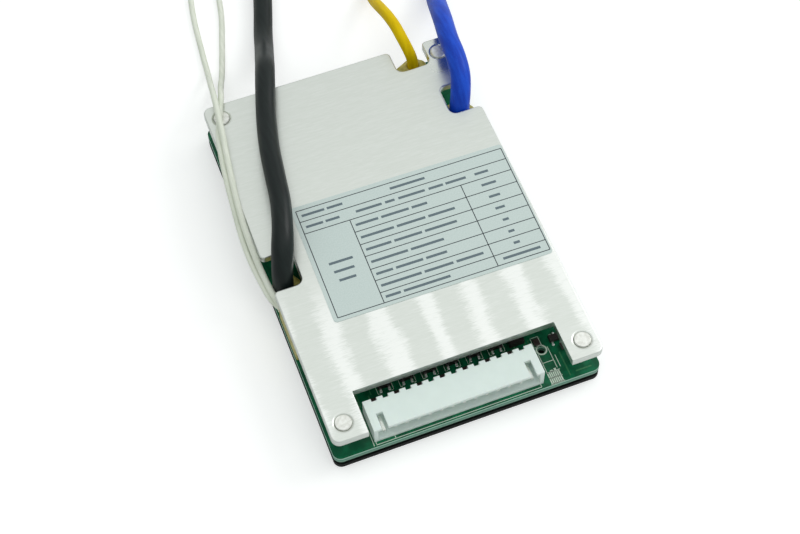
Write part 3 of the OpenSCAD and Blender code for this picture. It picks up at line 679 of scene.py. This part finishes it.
def addBoardPrint():
    holeX, holeY = header["hole"]
    white = [bar(-20.8, -44.68, 37.1, 0.16), bar(-21.4, -44.68, 0.16, 9.8)]
    white += [bar(x, -44.6, 0.16, 0.8) for x in (-20.8, -16.6, 16.2)]
    white += [bar(18.55, -42.2, 0.15, 5.0), bar(21.1, -41.5, 0.15, 5.4), bar(21.85, -41.5, 0.15, 3.0),
              bar(18.55, -39.6, 2.6, 0.15), bar(19.4, -42.1, 0.6, 0.5), bar(20.3, -41.9, 0.5, 0.5)]
    white += [bar(18.5 + 0.42 * k, -44.9, 0.3, 2.9) for k in range(7)]
    white += [bar(18.4, -44.95, 3.1, 0.22), bar(18.5, -43.5, 3.0, 0.2), bar(18.5, -42.1, 3.0, 0.2)]
    white += ring(holeX, holeY, 0.92, 1.26)
    white += outline(holeX - 1.35, holeY + 0.9, 1.9, 2.5, 0.14)
    white += [bar(22.45, -36.2, 0.15, 2.6), bar(22.45, -33.7, 0.7, 0.15)]
    for i in range(6):
        x = pinX(2 * i + 1.5)
        for side in (-1, 1):
            edge = x + side * 1.75
            white += [bar(edge - 0.06, header["row"] - 1.6, 0.12, 3.0),
                      bar(edge - (0.5 if side > 0 else 0), header["row"] - 1.66, 0.5, 0.12)]
    addPrint("board_print", white, "boardInk", boardTop)
    traces = []
    for i in range(header["ways"]):
        x = pinX(i)
        traces += [bar(x - 0.16, -35.9, 0.32, 2.6 + (i * 5 % 3) * 0.5), bar(x + 0.5, -33.4, 0.22, 3.4),
                   bar(x - 0.7, -34.6 + (i % 2) * 0.4, 1.3, 0.2)]
    traces += [bar(16.9 + 0.75 * k, -36.4 - (k % 2) * 2.1, 0.3, 5.2) for k in range(2)]
    traces += [bar(-21.2, -35.4, 0.5, 5.5), bar(22.9, -44.2, 0.3, 6.0), bar(24.5, -43.8, 3.6, 0.3)]
    addPrint("board_traces", traces, "trace", boardTop, thick=0.008)


addBoardPrint()


def addJoints():
    # Small solder fillets at the leads of the little transistors
    shape = bmesh.new()
    span, reach = header["leadSpan"], header["leadReach"]
    middles = [(pinX(2 * i + 1.5), header["row"]) for i in range(6)] + [header["driver"]]
    spots = [(x + side, y - reach) for x, y in middles for side in (-span, span)]
    spots += [(x, y + reach) for x, y in middles]
    for x, y in spots:
        size = Matrix.Diagonal([k * mm for k in header["joint"]] + [1])
        bmesh.ops.create_uvsphere(shape, u_segments=12, v_segments=8, radius=1,
                                  matrix=Matrix.Translation(at(x, y) + Vector((0, 0, boardTop))) @ size)
    addPiece("lead_joints", shape, "solder")


addJoints()

# ---------- solids that stay ----------

kept = {
    "base_plate": ("base", 0.12), "base_spacers": ("washer", 0.1), "circuit_board": ("board", 0.06),
    "rivets": ("rivet", 0.0), "thermal_pads": ("pad", 0.15),
    "power_transistor_bodies": ("moulding", 0.15), "power_transistor_tabs": ("copper", 0.05),
    "power_transistor_leads": ("copper", 0.05), "shunt_strips": ("shunt", 0.1), "controller_body": ("moulding", 0.08),
    "controller_leads": ("copper", 0.02), "balance_resistors": ("glaze", 0.06),
    "ceramic_capacitors": ("ceramic", 0.08), "balance_transistor_bodies": ("moulding", 0.06),
    "balance_transistor_leads": ("copper", 0.02), "channel_resistors": ("glaze", 0.04),
    "driver_transistor_body": ("moulding", 0.06), "driver_transistor_leads": ("copper", 0.02),
    "regulator_body": ("moulding", 0.08), "corner_resistors": ("glaze", 0.04), "header_housing": ("nylon", 0.14),
    "header_pins": ("pin", 0.05), "header_solder": ("solder", 0.1), "wire_solder": ("solder", 0.1),
    "label": ("paper", 0.02), "black_wire_sealant": ("khaki", 0.0), "blue_wire_sealant": ("khaki", 0.0),
    "yellow_wire_sealant": ("khaki", 0.0), "lead_sealant": ("khaki", 0.0), "sensor_bead": ("epoxy", 0.0),
}


def dressNode(name, finish, edge):
    node = bpy.data.objects[name]
    node.data.materials.clear()
    node.data.materials.append(finishes[finish].material)
    if edge:
        merge = node.modifiers.new("flat_faces", "DECIMATE")
        merge.decimate_type = "DISSOLVE"
        merge.angle_limit = math.radians(0.5)
        bevel = node.modifiers.new("soft_edges", "BEVEL")
        bevel.width = edge * mm
        bevel.segments = 3
        bevel.limit_method = "ANGLE"
        bevel.angle_limit = math.radians(35)
        bevel.harden_normals = True
    if finish == "khaki":
        # Poured, so all corners flow into each other
        grid = node.modifiers.new("even_mesh", "REMESH")
        grid.mode = "VOXEL"
        grid.voxel_size = 0.22 * mm
        grid.use_smooth_shade = True
        flow = node.modifiers.new("flow", "SMOOTH")
        flow.factor = 0.6
        flow.iterations = 9


for nodeName, (finishName, edgeWidth) in kept.items():
    dressNode(nodeName, finishName, edgeWidth)
print("solids dressed:", len(kept))


# ---------- floor and light ----------


class Room(NodeMaker):
    def __init__(self, tree):
        super().__init__(tree, "Background", "Generated")


def addStudio():
    shape = bmesh.new()
    bmesh.ops.create_grid(shape, x_segments=8, y_segments=8, size=studio["floorSize"])
    mesh = bpy.data.meshes.new("floor")
    shape.to_mesh(mesh)
    shape.free()
    mesh.materials.append(floorFinish().material)
    floor = bpy.data.objects.new("floor", mesh)
    bpy.context.scene.collection.objects.link(floor)
    for name, lamp in studio["lamps"].items():
        addLamp(name, **lamp)
    world = bpy.data.worlds.new("studio")
    world.use_nodes = True
    bpy.context.scene.world = world
    room = Room(world.node_tree)
    towards = room.node("ShaderNodeVectorMath", {"operation": "DOT_PRODUCT"},
                        {0: room.place, 1: studio["sun"].normalized()}, "Value")
    walls = room.tint(room.span(towards, -0.6, 1.0), studio["darkWall"], studio["lightWall"])
    up = room.node("ShaderNodeSeparateXYZ", {}, {0: room.place}, 2)
    walls = room.scale(walls, room.span(up, 0.72, 0.9, *studio["overhead"]))
    seen = room.tint(room.node("ShaderNodeLightPath", {}, {}, "Is Camera Ray"), walls, (1, 1, 1))
    room.feed(room.shader.inputs["Color"], seen)


addStudio()
bpy.context.scene.view_settings.view_transform = "Standard"
